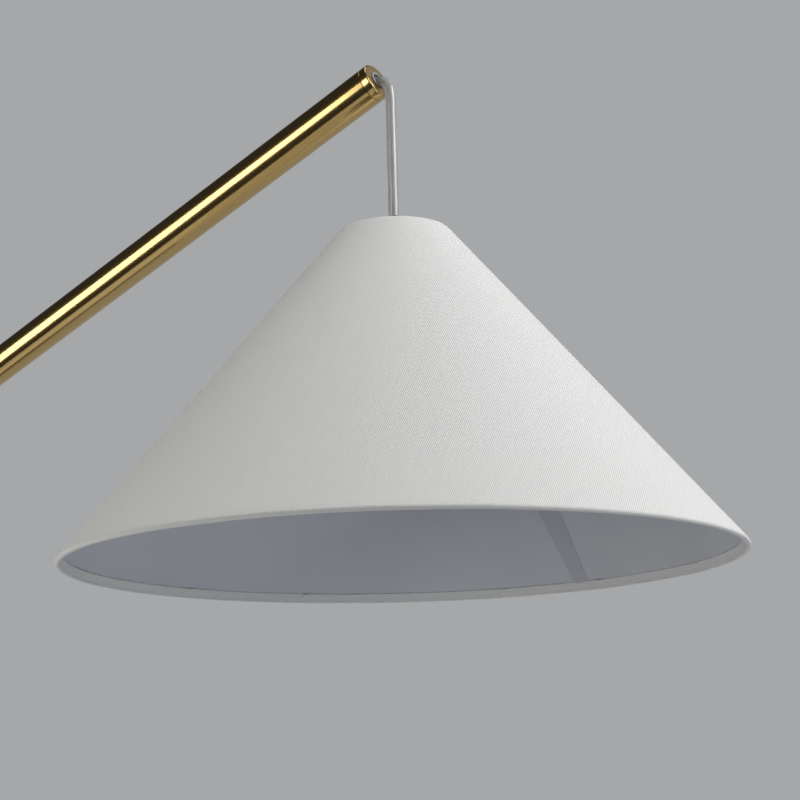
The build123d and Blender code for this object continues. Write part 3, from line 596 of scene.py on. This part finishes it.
def cloth_profile():
    """The cloth's half section from top fold to hem: each point, its length down the cut, its share of the hem."""
    lean = atan2(OUT.y, OUT.x)
    points = [TOP_WIRE - WIRE_TO_CLOTH * OUT + DOWN * HEM * (1 - k / 4) for k in range(4)]
    points += [TOP_WIRE + WIRE_TO_CLOTH * Vector((cos(lean + pi - a), sin(lean + pi - a)))
               for a in [pi * k / 10 for k in range(11)]]
    points += [TOP_WIRE + WIRE_TO_CLOTH * OUT + DOWN * SLANT * k / 56 for k in range(1, 56)]
    points += [RIM_WIRE + WIRE_TO_CLOTH * Vector((cos(lean - a), sin(lean - a)))
               for a in [pi * k / 14 for k in range(15)]]
    hem = []
    for k in range(1, HEM_STEPS + 1):
        share = k / HEM_STEPS
        hem.append(RIM_WIRE - DOWN * HEM * share - OUT * (WIRE_TO_CLOTH - HEM_STANDS_OFF * share ** 0.8))
    lengths = [-HEM - pi * WIRE_TO_CLOTH / 2]
    shares = [0.0] * len(points) + [(k + 1) / HEM_STEPS for k in range(HEM_STEPS)]
    points += hem
    for first, second in zip(points, points[1:]):
        lengths.append(lengths[-1] + (second - first).length)
    return list(zip(points, lengths, shares))


def crease(turn, share, creases):
    """How far the hem puckers off the liner at a place, in millimetres."""
    lift = 0.0
    for where, lean, depth, width in creases:
        gap = (turn - where - lean * share + pi) % (2 * pi) - pi
        lift += depth * share * (1 - 0.35 * share) * exp(-(gap / width) ** 2)
    return lift


def cloth_part(name, rows, sides, creases):
    """Some rows of the cloth's profile turned round the shade, with its flat cut as the UV map."""
    apex_gap = (TOP_WIRE.x + WIRE_TO_CLOTH * OUT.x) / sin(SLANT_HALF)
    start = SEAM_TURN - 2 * pi if SEAM_TURN > FRONT_TURN else SEAM_TURN
    form = bmesh.new()
    cut = form.loops.layers.uv.new("cut")
    grid = []
    for point, _, share in rows:
        row = []
        for k in range(sides):
            turn = start + 2 * pi * k / sides
            lift = crease(turn, share, creases) if share else 0.0
            radius = point.x - OUT.x * lift + 0.22 * noise.noise((3 * cos(turn), 3 * sin(turn), point.y / 60))
            height = point.y - OUT.y * lift + 0.18 * noise.noise((5 * cos(turn), 5 * sin(turn), 9.0))
            row.append(form.verts.new(shade_place(radius, height, turn)))
        grid.append(row)
    for i in range(len(grid) - 1):
        for k in range(sides):
            corners = ((i, k), (i, k + 1), (i + 1, k + 1), (i + 1, k))
            face = form.faces.new([grid[a][b % sides] for a, b in corners])
            for loop, (a, b) in zip(face.loops, corners):
                flat = (start + 2 * pi * b / sides - FRONT_TURN) * sin(SLANT_HALF) + RIB_LEAN
                reach = (apex_gap + rows[a][1]) * MM
                loop[cut].uv = (reach * sin(flat), -reach * cos(flat))
    bmesh.ops.recalc_face_normals(form, faces=form.faces)
    mesh = bpy.data.meshes.new(name)
    form.to_mesh(mesh)
    form.free()
    part = new_object(name, mesh, CLOTH, 60)
    thick = part.modifiers.new("cloth thickness", "SOLIDIFY")
    thick.thickness = CLOTH_THICK * MM
    thick.offset = 0
    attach(part, "pendant")
    return part


def make_cloth():
    """One cloth over both wires, its ribs straight as on the flat cut, and its tucked hem inside the rim."""
    rng = random.Random(11)
    creases = [(rng.uniform(-pi, pi), rng.uniform(-0.035, -0.015), rng.uniform(0.4, 1.2),
                rng.uniform(0.005, 0.009)) for _ in range(TUCKS)]
    rows = cloth_profile()
    roll_end = max(i for i, row in enumerate(rows) if row[2] == 0.0)
    cloth = cloth_part("shade_cloth", rows[:roll_end + 1], SHADE_SIDES, creases)
    hem = cloth_part("shade_hem", rows[roll_end:], HEM_SIDES, creases)
    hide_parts("shade_fabric")


def make_liner():
    """The smooth film inside the cloth."""
    form = bmesh.new()
    start, end = TOP_WIRE + DOWN * 3.5 + OUT, RIM_WIRE - DOWN * 1.2 + OUT
    grid = []
    for i in range(41):
        point = start.lerp(end, i / 40)
        row = []
        for k in range(SHADE_SIDES):
            turn = 2 * pi * k / SHADE_SIDES
            ripple = 0.15 * noise.noise(Vector((4 * cos(turn), 4 * sin(turn), point.y / 80)))
            row.append(form.verts.new(shade_place(point.x - ripple, point.y, turn)))
        grid.append(row)
    for first, second in zip(grid, grid[1:]):
        for k in range(SHADE_SIDES):
            form.faces.new((first[k], first[(k + 1) % SHADE_SIDES], second[(k + 1) % SHADE_SIDES], second[k]))
    bmesh.ops.recalc_face_normals(form, faces=form.faces)
    mesh = bpy.data.meshes.new("shade_lining")
    form.to_mesh(mesh)
    form.free()
    lining = new_object("shade_lining", mesh, LINER, 60)
    thick = lining.modifiers.new("film thickness", "SOLIDIFY")
    thick.thickness = FILM_THICK * MM
    thick.offset = 0
    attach(lining, "pendant")
    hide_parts("shade_liner")


def make_seam():
    """The lap of the film, wider towards the top: one crisp edge, one pressed nearly smooth."""
    form = bmesh.new()
    start, end = TOP_WIRE + DOWN * 12 + OUT * 0.8, RIM_WIRE - DOWN * 2 + OUT * 0.8
    shares = [k / LAP_STEPS for k in range(1, LAP_STEPS + 1)]
    lift = [0.0, LAP_RISE] + [LAP_RISE - 0.35 * share ** 3 for share in shares] + [0.0]
    across = [0.0, 0.0] + shares + [1.0]
    grid = []
    for i in range(49):
        point = start.lerp(end, i / 48)
        width = LAP_WIDTH + LAP_GROWS * min(LAP_GROWS_OVER, SLANT * (1 - i / 48))
        row = []
        for share, rise in zip(across, lift):
            turn = SEAM_TURN + (share - 0.5) * -width / point.x
            spot = point - OUT * (rise + 0.02)
            row.append(form.verts.new(shade_place(spot.x, spot.y, turn)))
        grid.append(row)
    for first, second in zip(grid, grid[1:]):
        for k in range(len(first) - 1):
            form.faces.new((first[k], first[k + 1], second[k + 1], second[k]))
        form.faces.new((first[0], second[0], second[-1], first[-1]))
    form.faces.new(grid[0])
    form.faces.new(grid[-1])
    bmesh.ops.recalc_face_normals(form, faces=form.faces)
    mesh = bpy.data.meshes.new("lining_lap")
    form.to_mesh(mesh)
    form.free()
    # its material is painted darker than the liner: painted shade on the lap
    lap = new_object("lining_lap", mesh, LINER_LAP_PAINTED_SHADE, 25)
    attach(lap, "pendant")
    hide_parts("liner_seam")


make_cloth()
make_liner()
make_seam()


# ------------------------------------------------------------------- the arm
COLLAR = 874                                     # where the end cap's collar meets the tube, along the arm


def stand_in(piece, body, node):
    """A finished piece takes the place of a CAD node on its body."""
    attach(piece, body)
    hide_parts(node)


def make_arm_end():
    """Front tube, its end cap with a fine joint line, and the clear bush in it."""
    tube = turned("arm_front", [(TUBE_BORE, -40), (TUBE_R, -40), (TUBE_R, COLLAR - 0.1), (TUBE_BORE, COLLAR - 0.1)],
                  BRASS_ARM, ARM, 0.2, 128)
    cap = turned("arm_cap", [(8.5, 854), (11.1, 854), (11.1, 873.2), (12.1, 873.2), (12.1, COLLAR),
                             (TUBE_R, COLLAR + 0.4), (TUBE_R, 879.3), (12.0, 880), (6.05, 880), (6.05, 874),
                             (8.5, 874)], BRASS_END, ARM, 0.15, 128)
    bush = turned("clear_bush", [(4.5, 873.2), (6.0, 873.2), (6.0, 880.1), (6.3, 880.25), (6.2, 880.7), (4.6, 880.7)],
                  BUSH, ARM, 0.35, 64)
    stand_in(tube, "arm", "arm_tube_front")
    stand_in(cap, "arm", "arm_end_cap")
    stand_in(bush, "arm", "tip_bush")


def make_counterweight():
    """The solid brass weight on the arm's tail, with a shallow turned groove near each end."""
    weight = turned("arm_weight", [
        (0, -420), (20, -420), (20.6, -419.4), (21.2, -420), (27, -420), (27, -408), (26.4, -407.4), (27, -406.8),
        (27, -343.2), (26.4, -342.6), (27, -342), (27, -330), (11.1, -330), (11.1, -300), (0, -300)],
        BRASS_ARM, ARM, 3.2, 128)
    stand_in(weight, "arm", "counterweight")


make_arm_end()
make_counterweight()


# -------------------------------------------------------------- knob and holder
def make_knob():
    """The tilt knob, a turned drum with round grips all round it."""
    near_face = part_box("tilt_knob")[1].y
    face = PIVOT + Vector((0, near_face, 0))
    drum = turned("knob_drum", [(4.1, 0), (11.2, 0), (11.2, 14), (8.6, 14), (7.9, 13.4), (0, 13.4), (0, 12.5),
                                (4.1, 12.5)], STAMPED, Matrix.Identity(4), 0.5, 96)
    mesh = grown("knob_drum", RIBS, drum.data, STAMPED, Ribs=24, Ring_Radius=11.1 * MM, Rib_Radius=0.85 * MM,
                 Rib_Start=1.2 * MM, Rib_End=12.8 * MM)
    bpy.data.objects.remove(drum)
    mesh.transform(axis_at(face, Vector((0, -1, 0)), UP))
    stand_in(new_object("tilt_knob_grip", mesh, STAMPED, 40), "tilt_knob", "tilt_knob")


def make_holder():
    """The lampholder's lower shell with its rolled thread, and the ribbed ring that holds the shade."""
    shell = turned("holder_barrel", [(16.3, -72), (17.3, -72), (17.3, -36.5), (19.5, -36.5), (19.5, -34.5),
                                     (16.3, -34.5)], BRASS_PENDANT, Matrix.Identity(4), 0.3, 96)
    mesh = grown("holder_barrel", SCREW_THREAD, shell.data, BRASS_PENDANT, Turns=5.0, Shell_Radius=17.05 * MM,
                 Ridge_Radius=0.45 * MM, Thread_Start=-54.5 * MM, Thread_Height=13.0 * MM)
    bpy.data.objects.remove(shell)
    mesh.transform(PENDANT)
    stand_in(new_object("holder_barrel", mesh, BRASS_PENDANT, 40), "pendant", "holder_shell")
    band = turned("ring_band", [(17.6, -47), (20.8, -47), (21.4, -41.6), (22, -41.6), (22, -40), (17.6, -40)],
                  PHENOLIC, Matrix.Identity(4), 0.4, 96)
    mesh = grown("ring_band", RIBS, band.data, PHENOLIC, Ribs=36, Ring_Radius=20.9 * MM, Rib_Radius=0.6 * MM,
                 Rib_Start=-46.6 * MM, Rib_End=-41.4 * MM)
    bpy.data.objects.remove(band)
    mesh.transform(PENDANT)
    stand_in(new_object("ribbed_shade_ring", mesh, PHENOLIC, 40), "pendant", "shade_ring")


make_knob()
make_holder()


# ---------------------------------------------------------- frame nodes that stay
FINISH = {
    "felt_pad": FELT, "base_weight": IRON, "base_cover": BRASS_TURNED, "cable_gland": PHENOLIC,
    "base_stud": STEEL, "base_washer": STEEL, "base_nut": STEEL, "pole_foot": BRASS_TURNED,
    "pole_lower": BRASS_POLE, "pole_upper": BRASS_POLE, "pole_joiner": STEEL, "pole_cap": BRASS_TURNED,
    "stop_pin": STEEL, "swivel_washer": NYLON, "pole_cable": PVC, "yoke": BRASS_POLE,
    "spindle_washer": STEEL, "spindle_nut": STEEL, "head_cable": PVC, "arm_saddle": BRASS_ARM,
    "saddle_screws": STEEL, "tilt_screw": STAMPED, "tilt_stud": STEEL, "friction_washers": NYLON,
    "outer_washers": NYLON, "arm_tube_rear": BRASS_ARM, "arm_joiner": STEEL,
    "arm_cable": PVC, "cord_grip": PHENOLIC, "holder_cap": BRASS_PENDANT, "socket_core": PORCELAIN,
    "thread_shell": STAMPED, "centre_contact": STAMPED, "switch_key": PHENOLIC, "spider_ring": POWDER,
    "rim_ring": POWDER, "bulb_glass": GLASS, "bulb_cap": NICKEL, "bulb_contact": STAMPED, "bulb_filament": PHOSPHOR,
}
for node, material in FINISH.items():
    slots = frame["nodes"][node].data.materials
    slots.clear()
    slots.append(material)


# ------------------------------------------------------------- floor and light
EYE = bpy.context.scene.camera.matrix_world.translation.copy()
FLOOR_RADIUS = 2.7
STRIP_TURN = radians(39)                         # up from straight back to the eye, in the arm's mirror
GLOW_TURN = radians(-34)


def make_floor():
    """A plain pale round floor under the whole lamp."""
    mesh = bpy.data.meshes.new("floor")
    form = bmesh.new()
    bmesh.ops.create_circle(form, cap_ends=True, segments=128, radius=FLOOR_RADIUS,
                            matrix=Matrix.Translation(Vector((SHADE_X / 2, 0, 0))))
    form.to_mesh(mesh)
    form.free()
    floor = new_object("floor", mesh, FLOOR)
    floor.visible_glossy = False                 # as if black cards lay round it, for crisp bands on the tube


def make_studio():
    """A dim room with a pale wall behind the lamp, as metal mirrors it, and a plain grey backdrop all round."""
    world = bpy.data.worlds.new("studio")
    bpy.context.scene.world = world
    world.use_nodes = True
    tree = world.node_tree
    ray = add(tree, "ShaderNodeLightPath").outputs
    soft = tree.nodes["Background"]
    soft.inputs["Color"].default_value = linear("#646467")
    way = add(tree, "ShaderNodeTexCoord").outputs["Generated"]
    behind = add(tree, "ShaderNodeVectorMath", {0: way, 1: (0.0, 1.0, -0.35)}, operation="DOT_PRODUCT")
    wall = add(tree, "ShaderNodeMapRange", {"Value": behind.outputs["Value"], "From Min": 0.15, "From Max": 0.6})
    tone = add(tree, "ShaderNodeValToRGB", {"Fac": wall.outputs[0]}, stops=[(0.0, "#2E2E30"), (1.0, "#97989C")])
    mirrored_room = add(tree, "ShaderNodeBackground", {"Color": tone.outputs["Color"]}).outputs[0]
    backdrop = add(tree, "ShaderNodeBackground", {"Color": tuple(linear("#A6A7A9"))}).outputs[0]
    seen = add(tree, "ShaderNodeMath", {0: ray["Is Camera Ray"], 1: ray["Is Transmission Ray"]},
               operation="MAXIMUM").outputs[0]
    lit = add(tree, "ShaderNodeMixShader", {0: ray["Is Glossy Ray"], 1: soft.outputs[0], 2: mirrored_room})
    mixed = add(tree, "ShaderNodeMixShader", {0: seen, 1: lit.outputs[0], 2: backdrop})
    tree.links.new(mixed.outputs[0], tree.nodes["World Output"].inputs["Surface"])


def mirrored(spot, turn):
    """The way the arm's side mirrors the room at a spot, turned up from straight back to the eye."""
    to_eye = (EYE - spot).normalized()
    beside = to_eye.dot(ALONG) * ALONG
    facing = (to_eye - beside).normalized()
    return (to_eye - beside).length * (cos(turn) * facing + sin(turn) * facing.cross(ALONG)) - beside


def soft_light(name, place, aim, size, watts, colour="#FFFFFF", lengthways=Vector((0, 1, 0)), in_metal=True):
    """A soft box that faces a point, its long side along a given way, seen in metal or not, never in view."""
    data = bpy.data.lights.new(name, "AREA")
    data.shape = "RECTANGLE"
    data.size, data.size_y = size
    data.energy = watts
    data.color = linear(colour)[:3]
    light = bpy.data.objects.new(name, data)
    light.matrix_world = axis_at(place, place - aim, lengthways)
    light.visible_camera = False
    light.visible_glossy = in_metal
    bpy.context.scene.collection.objects.link(light)


def make_lights():
    """Key from the right, one overhead, one behind, a low cool fill, a strip the arm mirrors and a low glow."""
    right = Vector((cos(CAMERA_TURN), sin(CAMERA_TURN), 0))
    near = Vector((sin(CAMERA_TURN), -cos(CAMERA_TURN), 0))
    middle = RIM_CENTRE + 0.1 * UP
    side = sin(radians(63)) * right + cos(radians(63)) * near
    soft_light("key", middle + 2.3 * (cos(radians(36)) * side + sin(radians(36)) * UP), middle, (1.3, 1.3), 47)
    soft_light("top", middle + 2.2 * UP, middle, (1.4, 1.4), 4.5)
    soft_light("low_fill", middle + 1.9 * (cos(radians(20)) * side - sin(radians(20)) * UP), middle, (0.9, 0.9),
               4.3, "#F6F9FF")
    soft_light("back", middle + 2.6 * (sin(radians(12)) * UP - cos(radians(12)) * near), middle, (1.6, 1.6), 20,
               in_metal=False)
    spot = ARM_END - 0.25 * ALONG
    soft_light("strip", spot + 1.4 * mirrored(spot, STRIP_TURN), spot, (0.76, 1.3), 9.6, "#FFFDF6", ALONG)
    glow = ARM_END + 1.6 * mirrored(ARM_END, GLOW_TURN) - Vector((0.4, 0, 0))
    soft_light("floor_glow", glow, glow + UP, (0.9, 0.75), 0.95)


make_floor()
make_studio()
make_lights()
bpy.context.scene.view_settings.view_transform = "Standard"
